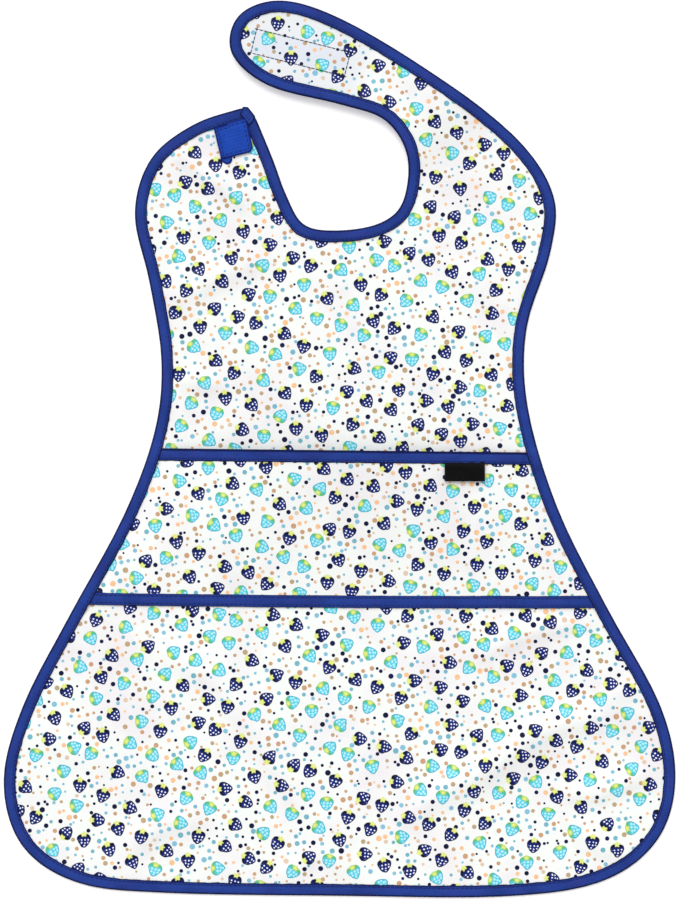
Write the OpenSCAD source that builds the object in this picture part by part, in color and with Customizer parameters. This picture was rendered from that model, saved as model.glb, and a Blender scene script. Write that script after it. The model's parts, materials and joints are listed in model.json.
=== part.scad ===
// Long-skirted baby bib in printed cloth, bound all round with folded tape.
// It lies face up. X runs across it, Y from the hem up to the neck strap, Z up from the table.
// Heights along the bib are measured from the hem; place() moves the middle of the bib to the origin.

/* [Bib] */
// Width across the flared skirt
bib_width = 450; // [420:5:480]
// Length from the hem to the top of the neck strap
bib_length = 600; // [560:5:640]
// Height of the line where the lap part folds up, above the hem
fold_height = 190; // [180:1:192]

/* [Cloth and tape] */
// Thickness of the coated cloth
cloth_thick = 0.6; // [0.4:0.1:1]
// Finished width of the folded tape
tape_width = 8; // [6:0.5:10]
// Thickness of the folded tape round the edge
tape_thick = 2.2; // [1.8:0.1:3]
// Width of the groove that the stitches pull into the tape
groove_width = 0.8; // [0.6:0.1:1]

/* [Pocket] */
// Height of the pocket's bottom tape above the hem
pocket_bottom = 195; // [193:1:200]
// Height of the pocket's mouth above the hem
pocket_mouth = 298; // [280:1:310]
// How far the middle of the mouth stands off the cloth
pocket_rise = 9; // [7:0.5:12]

/* [Closure] */
// Width of the hook-and-loop tape
closure_width = 20; // [16:1:22]
// Length of the hook patch on the shoulder
hook_length = 21; // [18:1:24]
// Length of the loop patch on the strap
loop_length = 68; // [55:1:70]
// Thickness of each half of the closure
closure_thick = 1.1; // [0.8:0.1:1.4]

/* [Label] */
// Width of the blank woven label
label_width = 27; // [20:1:35]
// Length that hangs below the mouth tape
label_drop = 11.5; // [8:0.5:15]

/* [Hidden] */

cloth_colour = "white";
tape_colour = "#26409a";
thread_colour = "#182a70";
closure_colour = "#2450b4";

play = 0.05;             // room between pieces that are sewn together
cut_gap = 0.2;           // room on each side of a line where the bib bends
curve_steps = 5;         // straight stretches between two points of the outline
far = 400;               // past every edge of the bib
fold_depth = 1.2;        // from the outer edge of the tape to the edge of the cloth inside it
stitch_inset = 6.3;      // from the outer edge to the row of stitches on the tape
stitch_width = 0.5;
stitch_depth = 0.25;
patch_seam = 1.6;        // from the edge of a patch to its stitches
seam_tape_thick = 1;     // the flat tape over the pocket's bottom edge
pocket_tape_thick = 1.6; // the tape folded over the pocket's mouth
pocket_gap = 0.3;        // between the pocket's edges and the cloth behind them
tuck_thick = 0.6;        // the turned-over end of the edge tape
label_thick = 0.7;
clearance = 0.35;        // between the closed strap and the hook patch

// Levels above the table
cloth_low = (tape_thick - cloth_thick) / 2;
cloth_top = cloth_low + cloth_thick;
hook_low = tape_thick + play;
hook_top = hook_low + closure_thick;
loop_low = hook_top + clearance;
strap_level = loop_low + closure_thick + play - cloth_low;

// The outline and the places after it are drawn at this size, and grow with the bib.
drawn_width = 450;
drawn_length = 600;

// The outline starts and ends at the left shoulder's blunt tip and goes down that side first.
left_side = [
  [-64, 528.5], [-98, 517], [-127, 494], [-138, 457], [-128, 411], [-120, 358], [-125, 310],
  [-146, 254], [-182, 188], [-213, 128], [-226, 78], [-214, 35], [-177, 10]
];
hem_side = [[-118, 3], [0, 1], [108, 0.5]];
right_side = [
  [174, 10], [212, 37], [225, 78], [215, 128], [179, 194], [146, 260], [126, 327], [125, 380],
  [141, 431], [143, 470], [116, 510], [58, 553], [0, 587]
];
strap_side = [[-40, 599], [-68, 589], [-73, 564], [-48, 542], [0, 529.5]];
neck_side = [
  [30, 519], [45, 495], [42, 465], [27, 451], [0, 446], [-24, 449.5], [-36, 469], [-45, 493], [-57, 522]
];
outline_points = concat(left_side, hem_side, right_side, strap_side, neck_side);

// A place on the drawing, on the bib as it is sized.
function placed(p) = [p.x * bib_width / drawn_width, p.y * bib_length / drawn_length];

// Lines across the strap where it swings and where its end lifts: a point and the strap's direction
swing_point = placed([67, 500]);
swing_angle = 139;
lift_point = placed([20, 549]);
lift_angle = 157;
swing_inner = 35;        // how far the swing line runs from its point towards the neck
swing_outer = 90;        // and towards the outer edge
// Points in the open neck and in the gap beside the strap's end
neck_middle = placed([0, 495]);
tip_gap = placed([-64, 541]);

hook_at = placed([-71.5, 507]);
hook_turn = 15;
loop_at = placed([-26, 565]);
loop_turn = -14;
label_at = placed([83.5, 0]).x;
side_zone = placed([60, 0]).x;          // the side bindings lie further out than this
shoulder_seam = placed([-64, 530]);     // where the left side binding meets the neck binding
tuck_points = [for (p = [[-63, 530], [-60, 519], [-58, 514], [-50, 516], [-52, 530]]) placed(p)];

// A smooth curve through four points, from the second to the third as t goes from 0 to 1.
function curve(a, b, c, d, t) =
  (2 * b + (c - a) * t + (2 * a - 5 * b + 4 * c - d) * t * t + (3 * b - a - 3 * c + d) * t * t * t) / 2;

// The open smooth line through all the points, ends included.
function smooth(points) =
  let (
    last = len(points) - 1,
    whole = concat([2 * points[0] - points[1]], points, [2 * points[last] - points[last - 1]])
  )
  concat(
    [for (i = [0:last - 1], k = [0:curve_steps - 1])
      curve(whole[i], whole[i + 1], whole[i + 2], whole[i + 3], k / curve_steps)],
    [points[last]]
  );

// The points moved and scaled so that they just fill the stated width and length.
function fitted(points) =
  let (
    xs = [for (p = points) p.x],
    ys = [for (p = points) p.y],
    middle = (min(xs) + max(xs)) / 2,
    across = bib_width / (max(xs) - min(xs)),
    along = bib_length / (max(ys) - min(ys))
  )
  [for (p = points) [(p.x - middle) * across, (p.y - min(ys)) * along]];

function unit(v) = v / norm(v);
function left_of(v) = [-v.y, v.x];

// A closed line moved inwards by a distance, with true corners. The line runs anticlockwise.
function inset(points, distance) =
  let (n = len(points))
  [for (i = [0:n - 1])
    let (
      before = left_of(unit(points[i] - points[(i + n - 1) % n])),
      after = left_of(unit(points[(i + 1) % n] - points[i]))
    )
    points[i] + distance * (before + after) / (1 + before * after)];

edge = fitted(smooth(outline_points));

// Where the inset outline crosses a height, on the left (-1) or the right (1).
function side_at(height, side, distance) =
  let (line = inset(edge, distance), n = len(line))
  [for (i = [0:n - 1])
    let (p = line[i], q = line[(i + 1) % n])
    if ((p.y - height) * (q.y - height) <= 0 && p.y != q.y && p.x * side > 0)
      p.x + (q.x - p.x) * (height - p.y) / (q.y - p.y)][0];

pocket_low = pocket_bottom + tape_width + cut_gap * 2;
mouth_low = pocket_mouth - tape_width;
pocket_clear = tape_width + cut_gap * 2;

// Height of the pocket sheet's middle above the table: flat along its seams, bowed at its mouth,
// and raised towards the mouth to make room for the tape there.
function bow(x, height) =
  let (
    low = side_at(height, -1, pocket_clear),
    high = side_at(height, 1, pocket_clear),
    across = (2 * x - low - high) / (high - low),
    up = (height - pocket_low) / (pocket_mouth - pocket_low)
  )
  cloth_top + pocket_gap + (cloth_thick + (pocket_tape_thick - cloth_thick) * up) / 2
    + pocket_rise * up * cos(90 * across);

module place() {
  translate([0, -bib_length / 2, 0]) children();
}

// A flat piece between two levels above the table.
module slab(low, high) {
  translate([0, 0, low]) linear_extrude(high - low) children();
}

module inside(distance) {
  polygon(inset(edge, distance));
}

// The strip of the bib between two distances from its outer edge.
module rim(outer, inner) {
  difference() {
    inside(outer);
    inside(inner);
  }
}

// Everything on the far side of a line through a point, looking in the direction of an angle.
module beyond(point, angle, gap) {
  translate(point) rotate(angle) translate([gap, -far]) square([2 * far, 2 * far]);
}

// The part of the plane that holds the strap: past its root and above the open neck.
module strap_zone() {
  forward = [cos(swing_angle), sin(swing_angle)];
  across = [forward.y, -forward.x];
  root = swing_point + forward * cut_gap;
  polygon([
    root - swing_inner * across, root + swing_outer * across,
    [far, 2 * far], [-far, 2 * far], tip_gap, neck_middle
  ]);
}

module lap_zone() {
  translate([-far, -far]) square([2 * far, far + fold_height - cut_gap]);
}

module front_zone() {
  difference() {
    translate([-far, fold_height + cut_gap]) square([2 * far, 2 * far]);
    offset(delta = 2 * cut_gap) strap_zone();
  }
}

module strap_root_zone() {
  difference() {
    strap_zone();
    beyond(lift_point, lift_angle, -cut_gap);
  }
}

module strap_end_zone() {
  intersection() {
    strap_zone();
    beyond(lift_point, lift_angle, cut_gap);
  }
}

module left_zone() {
  polygon([
    [-far, 0], [-side_zone, 0], [-side_zone, neck_middle.y], shoulder_seam,
    shoulder_seam + [-far / 4, far], [-far, 2 * far]
  ]);
}

module right_zone() {
  translate([side_zone, 0]) square([far, far * 2]);
}

// One cloth panel, which the tape holds by its edge.
module cloth(level) {
  color(cloth_colour)
    slab(level + cloth_low, level + cloth_top)
      intersection() {
        inside(fold_depth);
        children();
      }
}

// A stretch of tape folded over the edge of the cloth, with the groove of its stitches.
module tape(level) {
  color(tape_colour)
    translate([0, 0, level])
      difference() {
        slab(0, tape_thick)
          intersection() {
            rim(0, tape_width);
            children();
          }
        slab(cloth_low - play, cloth_top + play) inside(fold_depth - play);
        slab(tape_thick - stitch_depth - play, tape_thick + 1)
          rim(stitch_inset - groove_width / 2, stitch_inset + groove_width / 2);
      }
}

// The thread in that groove.
module edge_thread(level) {
  color(thread_colour)
    slab(level + tape_thick - stitch_depth, level + tape_thick)
      intersection() {
        rim(stitch_inset - stitch_width / 2, stitch_inset + stitch_width / 2);
        children();
      }
}

// A straight-sided sheet that follows the bow of the pocket between two heights above the hem.
module bowed_sheet(from, to, thick, rows) {
  columns = 18;
  function layer(level) = [
    for (j = [0:rows], i = [0:columns])
      let (
        height = from + (to - from) * j / rows,
        low = side_at(height, -1, pocket_clear),
        high = side_at(height, 1, pocket_clear),
        x = low + (high - low) * i / columns
      )
      [x, height, bow(x, height) + level]
  ];
  wide = columns + 1;
  count = wide * (rows + 1);
  rim_path = concat(
    [for (i = [0:columns - 1]) i],
    [for (j = [0:rows - 1]) j * wide + columns],
    [for (i = [columns:-1:1]) rows * wide + i],
    [for (j = [rows:-1:1]) j * wide]
  );
  polyhedron(
    concat(layer(thick / 2), layer(-thick / 2)),
    concat(
      [for (j = [0:rows - 1], i = [0:columns - 1], half = [0, 1])
        let (a = j * wide + i)
        half == 0 ? [a, a + wide, a + wide + 1] : [a, a + wide + 1, a + 1]],
      [for (j = [0:rows - 1], i = [0:columns - 1], half = [0, 1])
        let (a = count + j * wide + i)
        half == 0 ? [a, a + wide + 1, a + wide] : [a, a + 1, a + wide + 1]],
      [for (k = [0:len(rim_path) - 1], half = [0, 1])
        let (a = rim_path[k], b = rim_path[(k + 1) % len(rim_path)])
        half == 0 ? [a, b, b + count] : [a, b + count, a + count]]
    )
  );
}

// A square patch with the two lower corners cut off.
module hook_outline(shrink) {
  w = closure_width / 2 - shrink;
  h = hook_length / 2 - shrink;
  clip = 2.5;
  polygon([[-w, h], [-w, clip - h], [clip - w, -h], [w - clip, -h], [w, clip - h], [w, h]]);
}

module loop_outline(shrink) {
  square([loop_length - 2 * shrink, closure_width - 2 * shrink], center = true);
}

// The ring on which a patch is stitched, and the groove round it if it is widened.
module hook_seam(widen) {
  difference() {
    hook_outline(patch_seam - widen);
    hook_outline(patch_seam + stitch_width + widen);
  }
}

// A closed row of stitches on a patch.
module patch_thread(at, turn, level) {
  color(thread_colour)
    place()
      slab(level, level + stitch_depth)
        translate(at) rotate(turn) children();
}

module front_panel() {
  place() cloth(0) front_zone();
}

module left_side_binding() {
  place() tape(0) intersection() { front_zone(); left_zone(); }
}

module right_side_binding() {
  place() tape(0) intersection() { front_zone(); right_zone(); }
}

module neck_binding() {
  place() tape(0) difference() {
    front_zone();
    offset(delta = play) { left_zone(); right_zone(); }
  }
}

// The end of the edge tape, turned over where it meets itself at the shoulder's tip.
module binding_end_tuck() {
  color(tape_colour)
    place()
      slab(tape_thick + play, tape_thick + play + tuck_thick)
        intersection() {
          inside(play);
          polygon(tuck_points);
        }
}

module front_edge_stitching() {
  place() edge_thread(0) front_zone();
}

// The stitches lie in a groove, so that the loop patch meets nothing but the hooks.
module hook_patch() {
  color(closure_colour)
    place()
      difference() {
        slab(hook_low, hook_top)
          translate(hook_at) rotate(hook_turn) hook_outline(0);
        slab(hook_top - stitch_depth - 2 * play, hook_top + 1)
          translate(hook_at) rotate(hook_turn) hook_seam((groove_width - stitch_width) / 2);
      }
}

module hook_patch_stitching() {
  patch_thread(hook_at, hook_turn, hook_top - stitch_depth - play) hook_seam(0);
}

// A level strip across the bib between its side bindings.
module cross_strip(low, high) {
  intersection() {
    inside(tape_width + play);
    translate([-far, low]) square([2 * far, high - low]);
  }
}

module pocket_bottom_tape() {
  color(tape_colour)
    place()
      slab(cloth_top, cloth_top + seam_tape_thick)
        cross_strip(pocket_bottom, pocket_bottom + tape_width);
}

// Two rows of stitches, one along each edge of the tape.
module pocket_bottom_stitching() {
  margin = tape_width - stitch_inset;
  color(thread_colour)
    place()
      slab(cloth_top + seam_tape_thick, cloth_top + seam_tape_thick + stitch_depth)
        for (row = [pocket_bottom + margin, pocket_bottom + tape_width - margin])
          cross_strip(row - stitch_width / 2, row + stitch_width / 2);
}

module lap_panel() {
  place() cloth(0) lap_zone();
}

module hem_binding() {
  place() tape(0) lap_zone();
}

module hem_stitching() {
  place() edge_thread(0) lap_zone();
}

module pocket_panel() {
  color(cloth_colour)
    place() bowed_sheet(pocket_low, mouth_low - play, cloth_thick, 6);
}

module pocket_mouth_binding() {
  color(tape_colour)
    place() bowed_sheet(mouth_low, pocket_mouth, pocket_tape_thick, 1);
}

module pocket_mouth_stitching() {
  row = mouth_low + tape_width - stitch_inset;
  color(thread_colour)
    place()
      translate([0, 0, (pocket_tape_thick + stitch_depth) / 2 + play])
        bowed_sheet(row - stitch_width / 2, row + stitch_width / 2, stitch_depth, 1);
}

// The label hangs from under the mouth tape and lies on the slope of the pocket.
module label() {
  top = mouth_low - play - cut_gap;
  lean_x = atan(bow(label_at + 1, top) - bow(label_at, top));
  lean_y = atan(bow(label_at, top) - bow(label_at, top - 1));
  color("#101012")
    place()
      translate([label_at, top, bow(label_at, top) + cloth_thick / 2 + 2 * cut_gap])
        rotate([lean_y, -lean_x, 0])
          translate([-label_width / 2, -label_drop, 0])
            cube([label_width, label_drop, label_thick]);
}

module strap_panel() {
  place() cloth(strap_level) strap_root_zone();
}

module strap_binding() {
  place() tape(strap_level) strap_root_zone();
}

module strap_stitching() {
  place() edge_thread(strap_level) strap_root_zone();
}

module strap_end_panel() {
  place() cloth(strap_level) strap_end_zone();
}

module strap_end_binding() {
  place() tape(strap_level) strap_end_zone();
}

module strap_end_stitching() {
  place() edge_thread(strap_level) strap_end_zone();
}

// The loop patch is on the back of the strap's end.
module loop_patch() {
  color(closure_colour)
    place()
      slab(loop_low, loop_low + closure_thick)
        difference() {
          translate(loop_at) rotate(loop_turn) loop_outline(0);
          rim(-1, tape_width + play);
        }
}

// Its stitches show on the front of the strap.
module loop_patch_stitching() {
  patch_thread(loop_at, loop_turn, strap_level + cloth_top)
    difference() {
      loop_outline(patch_seam);
      loop_outline(patch_seam + stitch_width);
    }
}

front_panel();
left_side_binding();
right_side_binding();
neck_binding();
binding_end_tuck();
front_edge_stitching();
hook_patch();
hook_patch_stitching();
pocket_bottom_tape();
pocket_bottom_stitching();
lap_panel();
hem_binding();
hem_stitching();
pocket_panel();
pocket_mouth_binding();
pocket_mouth_stitching();
label();
strap_panel();
strap_binding();
strap_stitching();
strap_end_panel();
strap_end_binding();
strap_end_stitching();
loop_patch();
loop_patch_stitching();
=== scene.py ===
"""Looks of a long baby bib: printed coated cloth, folded edge tape, a pocket and a hook-and-loop strap.

Everything is in metres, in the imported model's frame: +X across, +Y from the hem up to the strap, +Z up.
"""

import json
import math
import random

import bpy
import numpy as np
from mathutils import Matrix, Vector, noise
from mathutils.geometry import delaunay_2d_cdt
from mathutils.kdtree import KDTree


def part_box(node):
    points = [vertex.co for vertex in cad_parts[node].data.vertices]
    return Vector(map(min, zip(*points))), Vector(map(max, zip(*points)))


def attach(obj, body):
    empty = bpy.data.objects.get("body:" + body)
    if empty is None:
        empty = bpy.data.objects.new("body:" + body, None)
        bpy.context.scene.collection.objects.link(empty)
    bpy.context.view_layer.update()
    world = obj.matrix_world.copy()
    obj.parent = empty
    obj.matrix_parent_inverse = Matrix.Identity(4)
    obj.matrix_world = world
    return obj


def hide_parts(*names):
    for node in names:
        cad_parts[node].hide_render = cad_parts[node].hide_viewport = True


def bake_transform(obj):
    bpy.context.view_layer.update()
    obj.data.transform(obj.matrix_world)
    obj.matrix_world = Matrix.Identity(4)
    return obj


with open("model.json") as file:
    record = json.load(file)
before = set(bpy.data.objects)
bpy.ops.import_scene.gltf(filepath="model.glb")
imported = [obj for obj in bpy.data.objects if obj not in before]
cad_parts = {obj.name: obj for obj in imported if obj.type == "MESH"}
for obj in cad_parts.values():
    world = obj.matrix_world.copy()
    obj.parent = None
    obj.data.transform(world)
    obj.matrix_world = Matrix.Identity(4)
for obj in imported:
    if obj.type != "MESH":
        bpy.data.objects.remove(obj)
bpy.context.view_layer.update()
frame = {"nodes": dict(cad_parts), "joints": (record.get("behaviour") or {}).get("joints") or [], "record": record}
random.seed(7)

MM = 0.001

# ---------------------------------------------------------------- measures from the frame

JOINTS = {joint["name"]: joint for joint in frame["joints"]}


def pivot(name):
    return np.array(JOINTS[name]["pos_m"], float)


def flat_point(x, y):
    return np.array((x, y), float)


def unit(v):
    return v / np.linalg.norm(v)


def units(vectors):
    return vectors / np.linalg.norm(vectors, axis=1)[:, None]


def flat_middle(box):
    """The middle of a node's box, seen from above."""
    return flat_point((box[0].x + box[1].x) / 2, (box[0].y + box[1].y) / 2)


FRONT_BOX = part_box("front_panel")
MOUTH_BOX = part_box("pocket_mouth_binding")
BOTTOM_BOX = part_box("pocket_bottom_tape")
HOOK_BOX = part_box("hook_patch")
LOOP_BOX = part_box("loop_patch")
LABEL_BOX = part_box("label")

CLOTH_TOP = FRONT_BOX[1].z
CLOTH_MIDDLE = (FRONT_BOX[0].z + FRONT_BOX[1].z) / 2
CLOTH_THICK = 0.45 * MM
TAPE_WIDTH = MOUTH_BOX[1].y - MOUTH_BOX[0].y
FOLD_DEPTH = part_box("lap_panel")[0].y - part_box("hem_binding")[0].y
STRAP_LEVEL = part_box("strap_end_panel")[0].z - FRONT_BOX[0].z
SEAM_DEPTH = 6.3 * MM       # from the tape's outer edge to its row of stitches
POCKET_GAP = 0.3 * MM       # between the pocket's edges and the cloth behind them
POCKET_TAPE_THICK = 1.6 * MM

# Where the cloth is cut into zones near its hinges, and where the strap rises over the shoulder.
SEAM_Y = flat_middle(BOTTOM_BOX)[1]
LIFT_AT = pivot("strap_end_lift")[:2]
LIFT_ALONG = unit(np.array(JOINTS["strap_end_lift"]["axis"][:2]) @ np.array([[0, 1], [-1, 0]]))
LIFT_CUT = 9 * MM           # the strap's end piece starts this far before its hinge
ROOT_AT = pivot("strap_close")[:2]
ROOT_ALONG = unit(flat_point(-0.55, 0.835))     # the way the strap leaves the shoulder
ROOT_BEFORE = 11.5 * MM     # the measure along the root starts this far before its hinge
ROOT_CUT_Y = ROOT_AT[1] - 40 * MM
RISE_FROM, RISE_OVER = -2 * MM, 40 * MM     # along the root, where the strap rises over the shoulder
NECK_X, NECK_Y = frame["record"]["mounts"][2]["pos_m"][:2]
TIP_GAP = flat_point(-64 * MM, 241 * MM)    # between the left shoulder's tip and the strap's end


def smoothstep(t):
    """0 below 0 and 1 above 1, with a smooth step between them."""
    t = np.clip(t, 0, 1)
    return t * t * (3 - 2 * t)


def ease(value, start, reach):
    """0 up to start and 1 from reach beyond it, with a smooth step between them."""
    return smoothstep((value - start) / reach)


def in_strap(x, y):
    """Whether points belong to the strap: right of the neck above its root, left of it above the gap."""
    right = (x > NECK_X) & (y > ROOT_CUT_Y)
    left = (x <= NECK_X) & (y > np.interp(x, [TIP_GAP[0], NECK_X], [TIP_GAP[1], NECK_Y]))
    return right | left


def along_root(x, y):
    """How far points are along the strap, from a little before the hinge at its root."""
    return (x - ROOT_AT[0]) * ROOT_ALONG[0] + (y - ROOT_AT[1]) * ROOT_ALONG[1] + ROOT_BEFORE


def along_lift(x, y):
    """How far points are beyond the hinge of the strap's end."""
    return (x - LIFT_AT[0]) * LIFT_ALONG[0] + (y - LIFT_AT[1]) * LIFT_ALONG[1]


def level(x, y):
    """How far the bib is lifted off the table: the strap rises at its root to pass over the shoulder."""
    rise = ease(along_root(x, y), RISE_FROM, RISE_OVER)
    return np.where(in_strap(x, y), STRAP_LEVEL * rise, 0.0)


def zones(x, y):
    """The name of the zone that each point is in."""
    strap = in_strap(x, y)
    end = strap & (along_lift(x, y) > -LIFT_CUT)
    return np.select([end, strap, y < SEAM_Y], ["strap_end", "strap", "lap"], "front")


def follow(piece, zone):
    """Attaches a piece of the front zone to the front body; a piece of any other zone has its place baked into its
    mesh.
    """
    if zone == "front":
        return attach(piece, "front")
    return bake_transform(piece)


def stand_in(piece, slot, *nodes):
    """Hides the CAD nodes that a piece stands in for, if there are any. Neither the piece nor the slot is used."""
    if nodes:
        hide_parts(*nodes)


# ---------------------------------------------------------------- the outline, from the cloth panels


def upper_edges(name):
    """The edges round the upper face of a flat CAD node, anticlockwise, as pairs of (x, y) points."""
    mesh = frame["nodes"][name].data
    points = np.array([v.co for v in mesh.vertices])
    top = points[:, 2].max() - 0.01 * MM
    seen = set()
    for face in mesh.polygons:
        if min(points[i, 2] for i in face.vertices) > top:
            corners = [tuple(float(c) for c in np.round(points[i, :2], 6)) for i in face.vertices]
            seen.update(zip(corners, corners[1:] + corners[:1]))
    return np.array([(a, b) for a, b in sorted(seen) if (b, a) not in seen and a != b])


def nearness(points, edges):
    """How near each point comes to a set of edges."""
    a, b = edges[:, 0], edges[:, 1]
    d = b - a
    t = ((points[:, None] - a) * d).sum(2) / np.maximum((d * d).sum(1), 1e-12)
    feet = a + np.clip(t, 0, 1)[:, :, None] * d
    return np.linalg.norm(points[:, None] - feet, axis=2).min(1)


def joined_outline(names):
    """One closed line round several panels, without the lines along which they are cut apart."""
    edges = {name: upper_edges(name) for name in names}
    kept = []
    for name in names:
        others = np.concatenate([edges[other] for other in names if other != name])
        kept.extend(edges[name][nearness(edges[name].mean(1), others) > MM])
    kept = np.array(kept)
    left, at, line = list(range(1, len(kept))), 0, [kept[0][0]]
    while left:
        gaps = np.linalg.norm(kept[left, 0] - kept[at][1], axis=1)
        at = left.pop(int(gaps.argmin()))
        if np.linalg.norm(kept[at][0] - line[-1]) > 1.5 * MM:
            line.append(kept[at][0])
    return np.array(line)


def lengths_along(line):
    """How far along a line each of its points is."""
    return np.concatenate([[0], np.cumsum(np.linalg.norm(np.diff(line, axis=0), axis=1))])


def points_along(line, at):
    """The points that are given lengths along a line."""
    along = lengths_along(line)
    return np.stack([np.interp(at, along, values) for values in line.T], axis=1)


def looped(line):
    """A closed line with its first point once more at its end."""
    return np.concatenate([line, line[:1]])


def resampled(line, step):
    """A closed line again, with points about step apart."""
    length = lengths_along(looped(line))[-1]
    return points_along(looped(line), np.linspace(0, length, round(length / step), endpoint=False))


def softened(line, reach, step):
    """A closed line of points step apart, with its corners rounded over about reach."""
    span = int(3 * reach / step)
    weights = np.exp(-0.5 * (np.arange(-span, span + 1) * step / reach) ** 2)
    weights /= weights.sum()
    padded = np.concatenate([line[-span:], line, line[:span]])
    return np.stack([np.convolve(padded[:, k], weights, "valid") for k in (0, 1)], axis=1)


def inward_of(line):
    """The direction straight in from each point of a closed line that runs anticlockwise."""
    ahead = units(np.roll(line, -1, axis=0) - np.roll(line, 1, axis=0))
    return np.stack([-ahead[:, 1], ahead[:, 0]], axis=1)


def distances(tree, points):
    """How far each flat point is from the nearest point in a tree."""
    return np.array([tree.find((x, y, 0))[2] for x, y in points])


def tree_of(points):
    """A search tree of flat points."""
    tree = KDTree(len(points))
    for i, (x, y) in enumerate(points):
        tree.insert((x, y, 0), i)
    tree.balance()
    return tree


RING_STEP = 1.5 * MM
cloth_edge = joined_outline(["front_panel", "lap_panel", "strap_panel", "strap_end_panel"])
cloth_edge = resampled(softened(resampled(cloth_edge, MM), 2.2 * MM, MM), RING_STEP)
EDGE = cloth_edge - inward_of(cloth_edge) * FOLD_DEPTH
INWARD = inward_of(EDGE)
EDGE_TREE = tree_of(EDGE)
RINGS = len(EDGE)


def inset(distance):
    """The outline moved inwards, and drawn together to a mitre where it would cross itself."""
    moved = EDGE + INWARD * distance
    if distance < MM:
        return moved
    good = distances(EDGE_TREE, moved) > distance * 0.985
    index = np.arange(RINGS)
    return np.stack([np.interp(index, index[good], moved[good, k], period=RINGS) for k in (0, 1)], axis=1)


def side_x(y, side, distance):
    """Where the inset outline crosses a height, on the left (-1) or the right (1) of the bib."""
    line = SIDE_LINES[distance]
    ahead = np.roll(line, -1, axis=0)
    cross = ((line[:, 1] - y) * (ahead[:, 1] - y) <= 0) & (line[:, 0] * side > 0)
    p, q = line[cross][0], ahead[cross][0]
    return p[0] + (q[0] - p[0]) * (y - p[1]) / (q[1] - p[1])


POCKET_TUCK = 4.5 * MM      # the pocket's sides end this far from the outer edge, under the edge tape
SIDE_LINES = {d: inset(d) for d in (POCKET_TUCK, TAPE_WIDTH)}
MOUTH_LOW, MOUTH_TOP = MOUTH_BOX[0].y + 1.1 * MM, MOUTH_BOX[1].y + 1.5 * MM
MOUTH_RIGHT = side_x(MOUTH_TOP, 1, TAPE_WIDTH)
RIGHT_END = side_x(SEAM_Y, 1, POCKET_TUCK)
MOUTH_TILT = 1.4 * MM
SEAM_DROP, SEAM_TILT, SEAM_BOW = 1.0 * MM, 1.15 * MM, 0.85 * MM


def tilt(x):
    """How far the mouth tape stands above its place: it is higher at its left end and lower at its right."""
    return -MOUTH_TILT * x / MOUTH_RIGHT


def sway(x):
    """How far the bottom tape stands above its place: it is lower throughout, and in a shallow bow."""
    share = x / RIGHT_END
    return -SEAM_DROP - SEAM_TILT * share + SEAM_BOW * share ** 2


# ---------------------------------------------------------------- making meshes


def add_mesh(name, points, faces, rest=None, materials=(), face_materials=None, sharp=()):
    """A smooth mesh. rest gives each point's place on the flat cloth, kept as the UV layer "rest"."""
    mesh = bpy.data.meshes.new(name)
    mesh.from_pydata([tuple(map(float, p)) for p in points], [], [tuple(map(int, f)) for f in faces])
    if rest is not None:
        corners = np.zeros(len(mesh.loops), np.int32)
        mesh.loops.foreach_get("vertex_index", corners)
        layer = mesh.uv_layers.new(name="rest")
        layer.data.foreach_set("uv", np.asarray(rest, np.float32)[corners].ravel())
    for material in materials:
        mesh.materials.append(material)
    if face_materials is not None:
        mesh.polygons.foreach_set("material_index", np.asarray(face_materials, np.int32))
    mesh.polygons.foreach_set("use_smooth", [True] * len(mesh.polygons))
    if sharp:
        for edge in mesh.edges:
            if tuple(sorted(edge.vertices)) in sharp:
                edge.use_edge_sharp = True
    mesh.update()
    piece = bpy.data.objects.new(name, mesh)
    bpy.context.scene.collection.objects.link(piece)
    return piece


def sheet_normals(points, faces):
    """The unit normal at each point of a sheet of triangles or quads."""
    f = np.asarray(faces)
    face = np.cross(points[f[:, 1]] - points[f[:, 0]], points[f[:, 2]] - points[f[:, 0]])
    total = np.zeros_like(points)
    for k in range(f.shape[1]):
        np.add.at(total, f[:, k], face)
    return units(total)


def border(faces):
    """The directed edges that only one face has."""
    edges = {(int(a), int(b)) for f in faces for a, b in zip(f, np.roll(f, -1))}
    return [(a, b) for a, b in sorted(edges) if (b, a) not in edges]


def shell(name, points, faces, rest, thick, materials):
    """A closed thin piece round a middle sheet: its front takes materials[0], its back materials[1]."""
    used, faces = renumbered(faces)
    points, rest, count = points[used], rest[used], len(used)
    normals = sheet_normals(points, faces)
    all_faces = closed(faces, count)
    kinds = [0] * len(faces) + [1] * (len(all_faces) - len(faces))
    sharp = {tuple(sorted((a + k, b + k))) for a, b in border(faces) for k in (0, count)}
    both = np.concatenate([points + normals * thick / 2, points - normals * thick / 2])
    return add_mesh(name, both, all_faces, np.concatenate([rest, rest]), materials, kinds, sharp)


def grid_faces(rows, columns):
    """Quads between the points of a grid, row after row. They face up if rows go up and columns right."""
    i = np.arange(rows - 1)[:, None] * columns + np.arange(columns - 1)[None, :]
    return np.stack([i, i + 1, i + columns + 1, i + columns], axis=-1).reshape(-1, 4)


def loop_edges(count):
    """The edges of a closed line of count points."""
    return [(i, (i + 1) % count) for i in range(count)]


def triangulated(points, edges, tolerance):
    """Triangles that face up between flat points, with the given edges among theirs."""
    result = delaunay_2d_cdt([Vector(p) for p in points], edges, [], 1, tolerance)
    flat = np.array([tuple(p) for p in result[0]])
    faces = np.array(result[2])
    a, b, c = (flat[faces[:, k]] for k in range(3))
    up = (b[:, 0] - a[:, 0]) * (c[:, 1] - a[:, 1]) > (b[:, 1] - a[:, 1]) * (c[:, 0] - a[:, 0])
    return flat, np.where(up[:, None], faces, faces[:, ::-1])


def renumbered(faces):
    """The points that faces use, and the faces in terms of those alone."""
    used, corners = np.unique(faces, return_inverse=True)
    return used, corners.reshape(np.shape(faces))


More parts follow.
